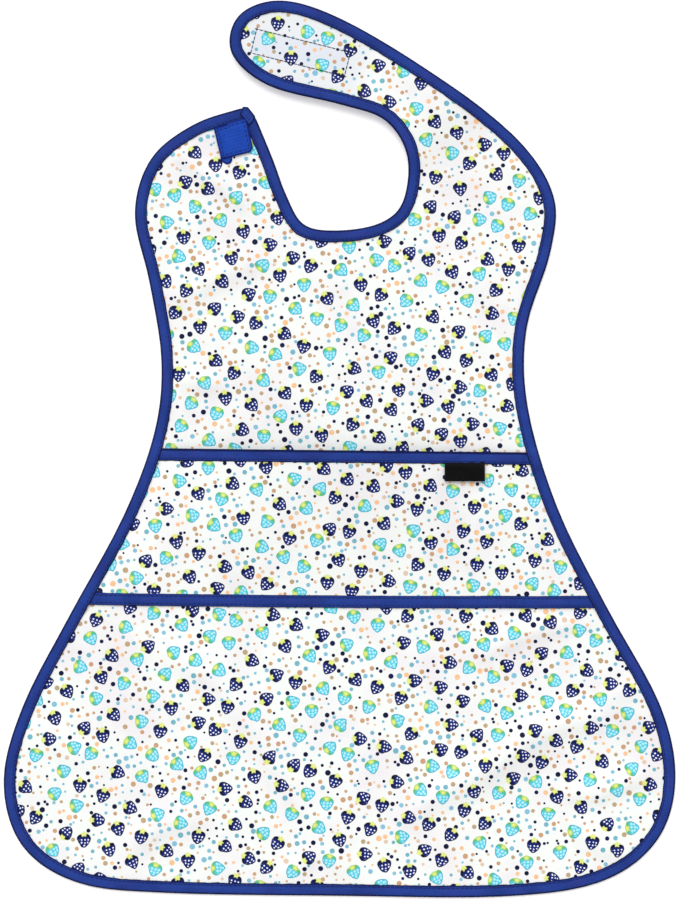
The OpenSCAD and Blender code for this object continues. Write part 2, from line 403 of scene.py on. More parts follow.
def closed(faces, count):
    """The faces of a thin closed piece: its upper sheet, its lower sheet of as many points, and the wall."""
    walls = [(a, a + count, b + count, b) for a, b in border(faces)]
    return list(faces) + [f[::-1] + count for f in faces] + walls


def cut_of(flat, faces):
    used = flat[np.unique(faces)]
    x, y = flat[faces][:, :, 0], flat[faces][:, :, 1]
    area = float(np.abs((x * np.roll(y, -1, 1) - y * np.roll(x, -1, 1)).sum(1)).sum() / 2)
    return {"flat": (np.ptp(used[:, 0]), np.ptp(used[:, 1])), "area": area}


# ---------------------------------------------------------------- materials


class Nodes:
    """Short calls for building a material's nodes. A socket is linked, and anything else is a value."""

    def __init__(self, name):
        self.material = bpy.data.materials.new(name)
        self.material.use_nodes = True
        self.tree = self.material.node_tree
        self.surface = self.tree.nodes["Principled BSDF"]

    def put(self, socket, value):
        if isinstance(value, bpy.types.NodeSocket):
            self.tree.links.new(value, socket)
        else:
            socket.default_value = value

    def add(self, kind, inputs, **settings):
        node = self.tree.nodes.new(kind)
        for key, value in settings.items():
            setattr(node, key, value)
        for key, value in inputs.items():
            self.put(node.inputs[key], value)
        return node

    def math(self, operation, *values, clamp=False):
        node = self.add("ShaderNodeMath", dict(enumerate(values)), operation=operation, use_clamp=clamp)
        return node.outputs[0]

    def plus(self, a, b, clamp=False):
        return self.math("ADD", a, b, clamp=clamp)

    def minus(self, a, b):
        return self.math("SUBTRACT", a, b)

    def times(self, a, b):
        return self.math("MULTIPLY", a, b)

    def times_plus(self, a, b, c):
        return self.math("MULTIPLY_ADD", a, b, c)

    def size(self, value):
        return self.math("ABSOLUTE", value)

    def sine(self, value):
        return self.math("SINE", value)

    def vector(self, operation, *values):
        node = self.add("ShaderNodeVectorMath", dict(enumerate(values)), operation=operation)
        return node.outputs["Value" if operation in ("LENGTH", "DISTANCE") else "Vector"]

    def turned(self, vector, angle):
        node = self.add("ShaderNodeVectorRotate", {"Vector": vector, "Angle": angle}, rotation_type="Z_AXIS")
        return node.outputs[0]

    def scaled(self, vector, factor):
        node = self.add("ShaderNodeVectorMath", {0: vector, "Scale": factor}, operation="SCALE")
        return node.outputs["Vector"]

    def ramp(self, value, low, high, first=0.0, last=1.0):
        """first below low and last above high, with a smooth step between them."""
        node = self.add("ShaderNodeMapRange", {0: value, 1: low, 2: high, 3: first, 4: last},
                        interpolation_type="SMOOTHSTEP")
        return node.outputs[0]

    def fade(self, value, low, high):
        """1 below low and 0 above high."""
        return self.ramp(value, low, high, 1.0, 0.0)

    def mix(self, factor, a, b, blend="MIX"):
        node = self.add("ShaderNodeMix", {0: factor, 6: a, 7: b}, data_type="RGBA", blend_type=blend)
        return node.outputs[2]

    def between(self, value, low, high, a, b, blend="MIX"):
        """Colour a below low and colour b above high."""
        return self.mix(self.ramp(value, low, high), a, b, blend)

    def split(self, vector):
        return self.add("ShaderNodeSeparateXYZ", {0: vector}).outputs

    def join(self, x, y, z=0.0):
        return self.add("ShaderNodeCombineXYZ", {0: x, 1: y, 2: z}).outputs[0]

    def noise(self, where, scale, detail=2.0, roughness=0.5, stretch=None):
        """Smooth noise about 0.5. A stretch below 1 draws it out along that axis."""
        if stretch:
            where = self.vector("MULTIPLY", where, stretch)
        inputs = {"Vector": where, "Scale": scale, "Detail": detail, "Roughness": roughness}
        return self.add("ShaderNodeTexNoise", inputs).outputs[0]

    def cells(self, where, spacing, jitter, feature="F1"):
        node = self.add("ShaderNodeTexVoronoi", {"Vector": where, "Scale": 1 / spacing, "Randomness": jitter},
                        voronoi_dimensions="2D", feature=feature)
        return node.outputs

    def steps(self, value, colours):
        """Plain bands of colour: each entry is (where it starts, its colour)."""
        node = self.add("ShaderNodeValToRGB", {0: value})
        node.color_ramp.interpolation = "CONSTANT"
        for i, (start, colour) in enumerate(colours):
            stop = node.color_ramp.elements[i] if i < 2 else node.color_ramp.elements.new(start)
            stop.position = start
            stop.color = colour
        return node.outputs[0]

    def rest_mm(self):
        """The place on the flat cloth, in millimetres."""
        uv = self.add("ShaderNodeUVMap", {}, uv_map="rest")
        return self.scaled(uv.outputs[0], 1 / MM)

    def bump(self, height, depth_mm, strength=1.0):
        node = self.add("ShaderNodeBump", {"Strength": strength, "Distance": depth_mm * MM, "Height": height})
        self.put(self.surface.inputs["Normal"], node.outputs[0])

    def finish(self, colour, roughness, **uniform):
        self.put(self.surface.inputs["Base Color"], colour)
        self.put(self.surface.inputs["Roughness"], roughness)
        for key, value in uniform.items():
            self.surface.inputs[key.replace("_", " ")].default_value = value
        return self.material


def rgb(red, green, blue):
    """A linear colour, with alpha, from the 0 to 255 values of a screen."""
    values = [c / 255 for c in (red, green, blue)]
    return (*[c / 12.92 if c <= 0.04045 else ((c + 0.055) / 1.055) ** 2.4 for c in values], 1)


BERRY_SPACING = 17.3        # mm, as are all lengths in materials
BERRY_JITTER = 0.4
BERRY_TURN = 0.42           # radians, of the grid that the berries stand on
BERRY_ROOM = 5.1            # between a berry's middle and the edge of a dot
NAVY_SHARE = 0.54
DOT_SPACING = 5.3
DOT_JITTER = 0.7
DOT_TURN = 0.27
WEAVE_PITCH = 0.42
BLUR = 0.6                  # of the edges of the painted shade of a patch that shows through the cloth
DOT_COLOURS = [
    (0.0, rgb(3, 12, 56)), (0.2, rgb(203, 160, 122)), (0.36, rgb(246, 196, 148)),
    (0.48, rgb(118, 180, 196)), (0.63, rgb(190, 164, 126)), (0.75, rgb(134, 192, 214)),
    (0.87, rgb(5, 18, 72)), (0.94, rgb(226, 200, 176)),
]


def berry_cells(n, place):
    """The cells in which the berries stand, on a grid turned so that its rows don't show."""
    place = n.turned(place, BERRY_TURN)
    return place, n.cells(place, BERRY_SPACING, BERRY_JITTER)


def berry(n, place, ground):
    """Small strawberries over the ground: navy ones with white seeds, and cyan ones with a green top."""
    place, cell = berry_cells(n, place)
    pick = n.split(cell["Color"])
    local = n.vector("SUBTRACT", place, cell["Position"])
    lean = n.times_plus(n.math("POWER", pick[0], 1.5), -3.3, 0.28)
    local = n.turned(local, lean)
    wobble = n.times(n.minus(n.noise(place, 0.25, 1.0), 0.5), 1.3)
    u, v, _ = n.split(local)
    u, v = n.plus(u, wobble), n.plus(v, wobble)

    taper = n.times_plus(v, 0.085, 1.0)
    across = n.math("DIVIDE", u, n.times(taper, 4.5))
    body = n.vector("LENGTH", n.join(across, n.math("DIVIDE", v, 4.8)))
    inside = n.fade(body, 0.95, 1.02)

    seed_cell = n.cells(n.join(n.times(u, 0.92), v), 1.95, 0.35)
    seed = n.fade(seed_cell["Distance"], 0.2, 0.31)
    lower = n.fade(v, 0.9, 1.7)
    core = n.fade(body, 0.72, 0.84)
    seed = n.times(seed, n.times(lower, core))
    streak = n.fade(seed_cell["Distance"], 0.18, 0.54)
    streak = n.times(streak, n.times(lower, n.ramp(body, 0.7, 0.92, 0.8, 0.0)))

    is_navy = n.math("LESS_THAN", pick[1], NAVY_SHARE)
    crown_v = n.minus(v, n.times_plus(is_navy, 1.0, 3.3))
    turn = n.math("COSINE", n.times(n.math("ARCTAN2", u, crown_v), 5.0))
    reach = n.times_plus(turn, 0.35, 1.6)
    crown_distance = n.vector("LENGTH", n.join(n.times(u, 0.8), crown_v))
    crown = n.fade(n.minus(crown_distance, reach), -0.3, 0.25)

    rim = n.ramp(body, 0.72, 0.95)
    navy = n.mix(rim, rgb(8, 30, 110), rgb(2, 10, 50))
    navy = n.between(v, 1.0, 3.2, navy, rgb(1, 8, 34))
    navy = n.mix(seed, navy, rgb(244, 248, 255))
    cyan = n.mix(rim, rgb(78, 200, 222), rgb(46, 162, 188))
    cyan = n.mix(streak, cyan, rgb(206, 244, 248))
    cyan = n.between(v, 0.8, 3.4, cyan, rgb(92, 182, 108))

    fruit = n.mix(is_navy, cyan, navy)
    leaf = n.mix(is_navy, rgb(190, 212, 92), rgb(216, 224, 132))
    leaf = n.between(crown_distance, 0.4, 1.4, rgb(222, 232, 132), leaf)
    colour = n.mix(inside, ground, fruit)
    return n.mix(crown, colour, leaf)


def dots(n, place, ground):
    """Dots of several sizes and colours between the berries. A dot too near a berry is left out whole."""
    turned = n.turned(place, -DOT_TURN)
    cell = n.cells(turned, DOT_SPACING, DOT_JITTER)
    room = n.cells(turned, DOT_SPACING, DOT_JITTER, "N_SPHERE_RADIUS")["Radius"]
    pick = n.split(cell["Color"])
    radius = n.times_plus(n.math("POWER", pick[0], 1.25), 1.2, 0.72)
    radius = n.math("MINIMUM", radius, n.times(room, DOT_SPACING * 0.9))
    distance = n.vector("DISTANCE", turned, cell["Position"])
    _, berries = berry_cells(n, n.turned(cell["Position"], DOT_TURN))
    berry_distance = n.times(berries["Distance"], BERRY_SPACING)
    clear = n.math("GREATER_THAN", berry_distance, n.plus(radius, BERRY_ROOM))
    spot = n.fade(n.minus(distance, radius), -0.1, 0.14)
    wear = n.ramp(n.noise(place, 0.9, 2.0), 0.35, 0.75)
    colour = n.mix(wear, n.steps(pick[1], DOT_COLOURS), rgb(232, 232, 232), blend="MULTIPLY")
    return n.mix(n.times(spot, clear), ground, colour)


def weave(n, place, pitch, skew=0.0):
    """A plain weave's height, from 0 to 1, with threads pitch millimetres apart."""
    x, y, _ = n.split(n.turned(place, skew))
    waves = [n.sine(n.times(c, 2 * math.pi / pitch)) for c in (x, y)]
    return n.times_plus(n.times(waves[0], waves[1]), 0.5, 0.5)


def cloth_material(name, shift=(0.0, 0.0), shade_through=None):
    """Printed, coated cloth. A patch given as (middle, turn, width, length) lies behind it: the patch's shade is
    painted through the cloth, and a fainter painted shade covers the cloth up to just past one end of the patch
    and fades out beyond it.
    """
    n = Nodes(name)
    rest = n.rest_mm()
    place = n.vector("ADD", rest, (*shift, 0.0))
    mottle = n.noise(rest, 0.018, 3.0, 0.6)
    ground = n.between(mottle, 0.4, 0.72, rgb(237, 241, 237), rgb(231, 228, 230))
    if shade_through:
        middle, turn, width, length = shade_through
        x, y, _ = n.split(n.turned(n.vector("SUBTRACT", rest, (*middle, 0.0)), -turn))
        across = n.fade(n.size(y), width / 2 - BLUR, width / 2 + BLUR)
        along = n.fade(n.size(x), length / 2 - BLUR, length / 2 + BLUR)
        # painted shade: the cloth is a little darker up to one end of the patch, fading out past it
        ground = n.between(x, length / 2 + 2, length / 2 + 20, rgb(225, 229, 231), ground)
        # painted shade of the patch behind, showing through the cloth, with blurred edges
        ground = n.mix(n.times(across, along), ground, rgb(217, 222, 230))
    printed = berry(n, place, dots(n, place, ground))
    speckle = n.noise(place, 1.6, 2.0)
    printed = n.between(speckle, 0.45, 0.8, printed, rgb(246, 246, 246), blend="MULTIPLY")
    threads = weave(n, place, WEAVE_PITCH)
    n.bump(n.plus(threads, n.noise(place, 0.5, 2.0)), 0.05, 0.35)
    roughness = n.ramp(n.noise(place, 0.25, 3.0), 0.3, 0.7, 0.42, 0.58)
    return n.finish(printed, roughness, Specular_IOR_Level=0.16, Coat_Weight=0.03, Coat_Roughness=0.35)


def backing_material():
    """The cloth's coated back: off-white, with the print faintly showing through."""
    n = Nodes("cloth_backing")
    place = n.rest_mm()
    ground = n.between(n.noise(place, 0.03, 3.0), 0.35, 0.7, rgb(232, 231, 226), rgb(222, 221, 219))
    shown = berry(n, place, dots(n, place, ground))
    colour = n.mix(0.14, ground, shown)
    n.bump(n.plus(n.noise(place, 1.4, 3.0), weave(n, place, WEAVE_PITCH)), 0.04, 0.3)
    roughness = n.ramp(n.noise(place, 0.4, 2.0), 0.3, 0.7, 0.3, 0.44)
    return n.finish(colour, roughness, Specular_IOR_Level=0.3, Coat_Weight=0.12, Coat_Roughness=0.25)


def tape_material(name, bright, faded, dark, bias=math.pi / 4, seam_at=SEAM_DEPTH / MM):
    """Woven tape, with painted shade on its rounded outer edge, along its inner lip, in its stitch groove and in
    the hollows of its weave. Its place runs along the tape in x and in from the outer edge in y.
    """
    n = Nodes(name)
    place = n.rest_mm()
    _, inward, _ = n.split(place)
    # painted shade: darker on the rounded outer edge and along the inner lip
    edge = n.math("MAXIMUM", n.ramp(inward, 0.7, 1.7, 1.4, 0.0), n.ramp(inward, 6.9, 7.6, 0.0, 1.4))
    # painted shade in the stitch groove
    seam = n.ramp(n.size(n.minus(inward, seam_at)), 0.2, 0.8, 0.8, 0.0)
    wash = n.noise(place, 0.09, 4.0, 0.6, stretch=(0.5, 1.0, 1.0))
    threads = weave(n, place, 0.5, bias)
    fleck = n.noise(place, 0.9, 2.0, stretch=(1.0, 3.0, 1.0))
    # shade is the painted shade of the edges and the groove, with the dye's random darker wash and flecks added
    shade = n.math("MAXIMUM", edge, n.times(seam, 0.35))
    shade = n.plus(n.times(shade, 0.7), n.ramp(wash, 0.35, 0.7, 0.0, 0.3))
    shade = n.plus(shade, n.ramp(fleck, 0.4, 0.75, 0.0, 0.16), clamp=True)
    tint = n.noise(place, 0.16, 2.0, stretch=(0.3, 1.0, 1.0))
    bright = n.mix(n.ramp(tint, 0.45, 0.75, 0.0, 0.5), bright, faded)
    colour = n.mix(shade, bright, dark)
    # painted shade in the hollows of the weave
    colour = n.mix(n.ramp(threads, 0.1, 0.9, 0.22, 0.0), colour, dark)
    n.bump(n.plus(threads, n.times(fleck, 0.6)), 0.12, 0.6)
    roughness = n.ramp(fleck, 0.3, 0.7, 0.68, 0.86)
    return n.finish(colour, roughness, Sheen_Weight=0.04, Sheen_Roughness=0.4, Specular_IOR_Level=0.12)


def thread_material(name, light, dark):
    """Twisted thread, with painted shade in the grooves of its twist. Its place runs along the stitch in x and
    round it in y.
    """
    n = Nodes(name)
    x, y, _ = n.split(n.rest_mm())
    twist = n.sine(n.plus(n.times(x, 14.0), n.times(y, 6.0)))
    # painted shade: dark in the grooves of the twist and light on its ridges
    colour = n.between(twist, -0.6, 0.8, dark, light)
    n.bump(twist, 0.08, 0.5)
    return n.finish(colour, n.ramp(twist, -1.0, 1.0, 0.6, 0.42), Specular_IOR_Level=0.2)


def pile_material(name, light, dark):
    """Hooks or loops of nylon, with painted shade: dark at their feet and lighter at their tips. Their height runs
    from 0 to 1 in y.
    """
    n = Nodes(name)
    uv = n.add("ShaderNodeUVMap", {}, uv_map="rest").outputs[0]
    x, height, _ = n.split(uv)
    tone = n.noise(n.join(n.times(x, 40.0), height), 3.0)
    # painted shade, dark at the feet among the pile and light at the tips
    colour = n.between(n.plus(height, tone), 0.3, 1.5, dark, light)
    return n.finish(colour, n.ramp(tone, 0.3, 0.7, 0.35, 0.55), Specular_IOR_Level=0.25)


def label_material():
    """Black satin label cloth: fine ribs across it, and a slightly paler woven edge."""
    n = Nodes("label_satin")
    place = n.rest_mm()
    x, y, _ = n.split(place)
    ribs = n.sine(n.times(y, 2 * math.pi / 0.35))
    threads = n.noise(place, 1.2, 3.0, stretch=(0.4, 4.0, 1.0))
    colour = n.between(threads, 0.35, 0.7, rgb(3, 3, 4), rgb(12, 12, 14))
    selvedge = n.ramp(n.size(x), 12.6, 13.1)
    colour = n.mix(n.times(selvedge, 0.5), colour, rgb(30, 30, 35))
    n.bump(n.plus(n.times(ribs, 0.5), threads), 0.05, 0.6)
    roughness = n.ramp(threads, 0.3, 0.7, 0.34, 0.5)
    return n.finish(colour, roughness, Specular_IOR_Level=0.07, Anisotropic=0.4)


LOOP_TURN, LOOP_MIDDLE = LOOP_PLACE = math.radians(-14), flat_middle(LOOP_BOX)
LOOP_LENGTH, LOOP_WIDTH = 68 * MM, 20 * MM
PATCH_SEAM = 2.4 * MM       # from the hook patch's edge to its row of stitches
PRINT = cloth_material("printed_cloth")
# The cloth of the strap's end, with painted shade where the loop patch lies behind it.
PRINT_SHADED = cloth_material(
    "printed_cloth_shaded_over_loops",
    shade_through=(LOOP_MIDDLE / MM, LOOP_TURN, LOOP_WIDTH / MM - 2, LOOP_LENGTH / MM - 2),
)
PRINT_POCKET = cloth_material("printed_cloth_pocket", shift=(37.0, 21.0))
BACKING = backing_material()
# The tape's own blue, a purplish tone of its dye, and the dark that painted shade and darker dye mix towards.
TAPE_BLUES = rgb(38, 66, 150), rgb(54, 60, 146), rgb(8, 18, 68)
TAPE = tape_material("edge_tape", *TAPE_BLUES)
SEAM_TAPE = tape_material("seam_tape", *TAPE_BLUES, bias=0.0)
THREAD = thread_material("sewing_thread", rgb(26, 46, 122), rgb(12, 24, 84))
DARK_THREAD = thread_material("closure_thread", rgb(26, 28, 50), rgb(8, 9, 24))
# The hook tape's blues in the same order: its own blue, a tone of its dye, and the dark of painted shade and
# darker dye.
HOOK_BLUES = rgb(30, 76, 180), rgb(38, 72, 174), rgb(12, 36, 116)
HOOK_TAPE = tape_material("hook_tape", *HOOK_BLUES, bias=0.0, seam_at=PATCH_SEAM / MM)
HOOKS = pile_material("nylon_hooks", rgb(40, 98, 208), rgb(18, 56, 156))
LOOPS = pile_material("nylon_loops", rgb(56, 100, 196), rgb(26, 56, 150))
LABEL = label_material()

# ---------------------------------------------------------------- the main cloth

GRID = 4 * MM
HALF_LENGTH, HALF_WIDTH = 300 * MM, 226 * MM    # of the grid of points in the cloth
# How far the cuts run: across the whole bib, out past the right shoulder, and across the strap.
CUT_REACH, ROOT_REACH, STRAP_REACH = 240 * MM, 200 * MM, 45 * MM
FOLD_STRENGTH = 1.4

# Soft folds in the cloth: the points that each runs through, its half width and its height, all in mm.
FOLDS = [
    ([(-114, 203), (-88, 182), (-60, 161)], 5, 1.7),
    ([(-118, 98), (-84, 114), (-44, 132)], 8, 1.3),
    ([(-116, 47), (-74, 43)], 7, 1.0),
    ([(64, 129), (82, 114), (98, 98)], 7, 1.2),
    ([(110, 196), (134, 172)], 7, 0.9),
    ([(-133, -130), (-88, -151), (-60, -186), (-33, -224), (-12, -262)], 8, 1.7),
    ([(194, -176), (150, -181), (128, -190), (106, -209), (70, -228), (38, -250)], 8, 2.3),
    ([(88, -139), (131, -121), (172, -112)], 7, 1.3),
    ([(146, -230), (173, -230), (210, -216)], 7, 1.6),
    ([(158, -252), (182, -274)], 6, 1.3),
    ([(206, -156), (172, -170)], 6, 1.1),
    ([(-146, -268), (-119, -253), (-86, -244)], 8, 1.3),
    ([(-206, -186), (-170, -212)], 8, 1.0),
    ([(-40, -288), (-14, -272), (10, -284)], 6, 1.0),
    ([(-64, 272), (-62, 262), (-54, 254), (-42, 249)], 2.2, 1.3),
]


def fold_height(points):
    """The height of all soft folds at each point: each is steeper on its lower side and fades at its ends."""
    total = np.zeros(len(points))
    for line, width, height in FOLDS:
        line = np.array(line, float) * MM
        best = np.full(len(points), np.inf)
        value = np.zeros(len(points))
        before = lengths_along(line)
        for a, b, start in zip(line, line[1:], before):
            span = np.linalg.norm(b - a)
            d = (b - a) / span
            t = np.clip((points - a) @ d, 0, span)
            off = points - a - t[:, None] * d
            distance = np.linalg.norm(off, axis=1)
            side = np.where(off @ np.array((-d[1], d[0])) > 0, 1.0, 0.65)
            share = (start + t) / before[-1]
            swell = np.sin(np.pi * np.clip(share, 0.02, 0.98)) ** 0.6
            nearer = distance < best
            best = np.where(nearer, distance, best)
            value = np.where(nearer, swell * np.exp(-0.5 * (distance / (width * MM * side)) ** 2), value)
        total += value * height * FOLD_STRENGTH * MM
    return total


def smooth_noise(points, size, seed):
    return np.array([noise.noise((x / size, y / size, seed)) for x, y in points])


def line_noise(places, size, row, seed):
    """Smooth noise at places along a line. Lines with other row numbers get other noise."""
    return np.array([noise.noise((place / size, row, seed)) for place in places])


def edge_places(points):
    """How far each point is from the bib's outer edge, and how far along the edge it is."""
    found = [EDGE_TREE.find((x, y, 0)) for x, y in points]
    return np.array([f[2] for f in found]), np.array([f[1] * RING_STEP for f in found])


def cloth_heights(points):
    """The height of the cloth's middle: held level by the tape at its edge, soft and wrinkled inside."""
    x, y = points[:, 0], points[:, 1]
    distance, along = edge_places(points)
    free = ease(distance, TAPE_WIDTH, 16 * MM)
    seam = ease(np.abs(y - SEAM_Y), TAPE_WIDTH * 0.6, 14 * MM)
    quiet = np.where(y > SEAM_Y, 0.15 + 0.85 * ease(y, MOUTH_BOX[1].y, 24 * MM), 1.0)
    waves = smooth_noise(points, 55 * MM, 1) * 0.55 + smooth_noise(points, 21 * MM, 5) * 0.2
    soft = (waves + 0.15) * MM
    near_tape = ease(distance, TAPE_WIDTH - 1.5 * MM, 6 * MM)
    pucker = line_noise(along, 5.5 * MM, 0, 3)
    ripple = 0.3 * MM * pucker * np.exp(-np.clip(distance - TAPE_WIDTH, 0, 1) / (7 * MM))
    ripple *= ease(distance, TAPE_WIDTH * 0.9, 2.5 * MM)
    sag = -0.3 * MM
    folds = near_tape * fold_height(points)
    return CLOTH_MIDDLE + level(x, y) + quiet * seam * (free * (soft + sag) + folds + ripple)


def cut_line(a, b):
    """Points along a straight cut."""
    count = max(2, round(np.linalg.norm(b - a) / GRID))
    return [a + (b - a) * i / count for i in range(count + 1)]


def cloth_grid():
    """The flat cloth as triangles, with an edge along each line where it is cut into pieces."""
    inner = inset(FOLD_DEPTH)[::2]
    lift_across = flat_point(LIFT_ALONG[1], -LIFT_ALONG[0]) * STRAP_REACH
    lift_middle = LIFT_AT - LIFT_ALONG * LIFT_CUT
    cuts = [
        cut_line(flat_point(-CUT_REACH, SEAM_Y), flat_point(CUT_REACH, SEAM_Y)),
        cut_line(flat_point(NECK_X, ROOT_CUT_Y), flat_point(ROOT_REACH, ROOT_CUT_Y)),
        cut_line(lift_middle - lift_across, lift_middle + lift_across),
    ]
    points, edges = list(inner), loop_edges(len(inner))
    for cut in cuts:
        edges += [(len(points) + i, len(points) + i + 1) for i in range(len(cut) - 1)]
        points += cut
    taken = tree_of(points)
    for row, y in enumerate(np.arange(-HALF_LENGTH, HALF_LENGTH, GRID * 0.866)):
        for x in np.arange(-HALF_WIDTH, HALF_WIDTH, GRID) + (row % 2) * GRID / 2:
            if taken.find((x, y, 0))[2] > GRID * 0.55:
                points.append(flat_point(x, y))
    return triangulated(points, edges, 1e-6)


flat_cloth, cloth_faces = cloth_grid()
cloth_points = np.column_stack([flat_cloth, cloth_heights(flat_cloth)])
face_zones = zones(*flat_cloth[cloth_faces].mean(1).T)

# For each zone, the CAD nodes of its cloth, its edge stitches and its edge tape.
FRONT_TAPES = "left_side_binding", "right_side_binding", "neck_binding"
ZONE_NODES = {
    "front": ("front_panel", "front_edge_stitching", *FRONT_TAPES),
    "lap": ("lap_panel", "hem_stitching", "hem_binding"),
    "strap": ("strap_panel", "strap_stitching", "strap_binding"),
    "strap_end": ("strap_end_panel", "strap_end_stitching", "strap_end_binding"),
}
cloths, cloth_cuts = {}, {}
for zone, (node, *_) in ZONE_NODES.items():
    faces = cloth_faces[face_zones == zone]
    front = PRINT_SHADED if zone == "strap_end" else PRINT
    piece = shell(f"cloth_{zone}", cloth_points, faces, flat_cloth, CLOTH_THICK, [front, BACKING])
    cloth_cuts[zone] = cut_of(flat_cloth, faces)
    stand_in(piece, "printed_cloth", node)
    cloths[zone] = follow(piece, zone)

# ---------------------------------------------------------------- the edge tape

# Half of the folded tape's section: the way in from the outer edge, and the height from its middle.
TAPE_SECTION = np.array([
    (8.0, 0.62), (7.75, 0.88), (6.95, 0.94), (6.6, 0.87), (6.3, 0.84), (6.0, 0.88), (5.5, 1.0), (4.1, 1.08),
    (2.5, 1.1), (1.2, 1.04), (0.45, 0.78), (0.08, 0.4),
]) * MM
# The slot in it that the cloth runs into, in the same terms, and the slot's end.
SLOT_SECTION = np.array([(7.85, 0.32), (1.6, 0.32)]) * MM
SLOT_END = 1.3 * MM
LOWEST = 0.02 * MM          # the tape stays this far above the table


def layers_under(points):
    """How much the pocket and its tapes, caught under the edge tape, lift its upper fold."""
    x, y = points[:, 0], points[:, 1]
    cloth = ease(y, BOTTOM_BOX[0].y - 3 * MM, 4 * MM)
    cloth = cloth * ease(-y, -MOUTH_BOX[1].y - 3 * MM, 4 * MM)
    mouth = smoothstep(2 - np.abs(y - (MOUTH_LOW + MOUTH_TOP) / 2 - tilt(x)) / (4.5 * MM))
    bottom = smoothstep(2 - np.abs(y - SEAM_Y - sway(x)) / (4.5 * MM))
    return (0.55 * cloth + 0.85 * mouth + 0.4 * bottom) * MM


def rings_of(lines, along):
    """A tape's rings, from the lines along it as (points, place across the tape), and their rest places."""
    rest = [np.column_stack([along, np.full(len(along), across)]) for _, across in lines]
    return np.stack([points for points, _ in lines], axis=1), np.stack(rest, axis=1)


def tape_rings():
    """All sections of the edge tape, with each point's place along and across the tape."""
    outer = [(d, h, 1, True) for d, h in TAPE_SECTION]
    under = [(d, h, -1, True) for d, h in TAPE_SECTION[::-1]]
    slot_floor = [(d, h, -1, False) for d, h in SLOT_SECTION]
    slot_roof = [(d, h, 1, False) for d, h in SLOT_SECTION[::-1]]
    section = outer + [(0.0, 0.0, 1, True)] + under + slot_floor + [(SLOT_END, 0.0, 1, False)] + slot_roof
    lift = layers_under(inset(TAPE_WIDTH / 2))
    lip = smooth_noise(EDGE, 4.5 * MM, 1) * 0.32 * MM + smooth_noise(EDGE, 1.9 * MM, 2) * 0.12 * MM
    puff = 1 + 0.09 * smooth_noise(EDGE, 3.4 * MM, 3) + 0.08 * smooth_noise(EDGE, 11 * MM, 4)
    lines = []
    for distance, half, up, outside in section:
        xy = inset(distance)
        if distance > SEAM_DEPTH + 0.4 * MM:
            xy = xy + INWARD * lip[:, None]
        height = half * up
        if up > 0 and outside:
            height = half * puff
        raised = lift * (smoothstep(distance / (1.5 * MM)) if up > 0 else 0)
        z = CLOTH_MIDDLE + level(xy[:, 0], xy[:, 1]) + height + raised
        lines.append((np.column_stack([xy, np.maximum(z, LOWEST)]), distance))
    return rings_of(lines, np.arange(RINGS) * RING_STEP)


def runs(flags):
    """The stretches of a closed row where flags hold, as lists of indices, each with one more at its end."""
    n = len(flags)
    starts = [i for i in range(n) if flags[i] and not flags[i - 1]]
    found = []
    for start in starts:
        length = 1
        while flags[(start + length) % n]:
            length += 1
        found.append([(start + k) % n for k in range(length + 1)])
    return found


def tube_faces(first, count, sides, clockwise=False):
    """The sides and the two end caps of a tube: count rings of points, of which the first has number first.

    The points go round each ring anticlockwise as seen from the tube's far end, or else clockwise.
    """
    ring = np.arange(sides)
    a = first + np.arange(count - 1)[:, None] * sides + ring
    b = a - ring + (ring + 1) % sides
    caps = [ring + first, ring + first + (count - 1) * sides]
    if clockwise:
        return list(np.stack([a, a + sides, b + sides, b], axis=-1).reshape(-1, 4)), [caps[0], caps[1][::-1]]
    return list(np.stack([a, b, b + sides, a + sides], axis=-1).reshape(-1, 4)), [caps[0][::-1], caps[1]]


def tubes_piece(name, parts, material, cut=False):
    """One piece of several capped tubes: parts are (rings, rest) pairs.

    Cut tape has clockwise rings and sharp ends.
    """
    faces, sharp, first = [], set(), 0
    for rings, _ in parts:
        walls, caps = tube_faces(first, *rings.shape[:2], clockwise=cut)
        faces += walls + caps
        if cut:
            sharp |= {tuple(sorted(edge)) for cap in caps for edge in zip(cap, np.roll(cap, 1))}
        first += rings.shape[0] * rings.shape[1]
    points = np.concatenate([rings.reshape(-1, 3) for rings, _ in parts])
    rests = np.concatenate([rest.reshape(-1, 2) for _, rest in parts])
    return add_mesh(name, points, faces, rests, [material], sharp=sharp)


ring_points, ring_rest = tape_rings()
ring_zones = zones(*inset(TAPE_WIDTH / 2).T)
for zone, (_, _, *nodes) in ZONE_NODES.items():
    parts = []
    for run in runs(list(ring_zones == zone)):
        rest = ring_rest[run].copy()
        rest[:, :, 0] = rest[0, 0, 0] + np.arange(len(run))[:, None] * RING_STEP
        parts.append((ring_points[run], rest))
    piece = tubes_piece(f"tape_{zone}", parts, TAPE, cut=True)
    stand_in(piece, "edge_tape", *nodes)
    follow(piece, zone)

# ---------------------------------------------------------------- stitches

STITCH_PITCH = 3.1 * MM
STITCH_LENGTH = 2.7 * MM
STITCH_RADIUS = 0.27 * MM


def angles_round(sides):
    return np.arange(sides) * 2 * math.pi / sides


def round_rings(middles, across, up, radius, angles):
    """The rings of a round tube. across and up are two directions at right angles to it, at each middle."""
    turns = angles[:, None]
    circle = across[:, None] * np.cos(turns) + up[:, None] * np.sin(turns)
    return middles[:, None] + circle * np.reshape(radius, (-1, 1, 1))


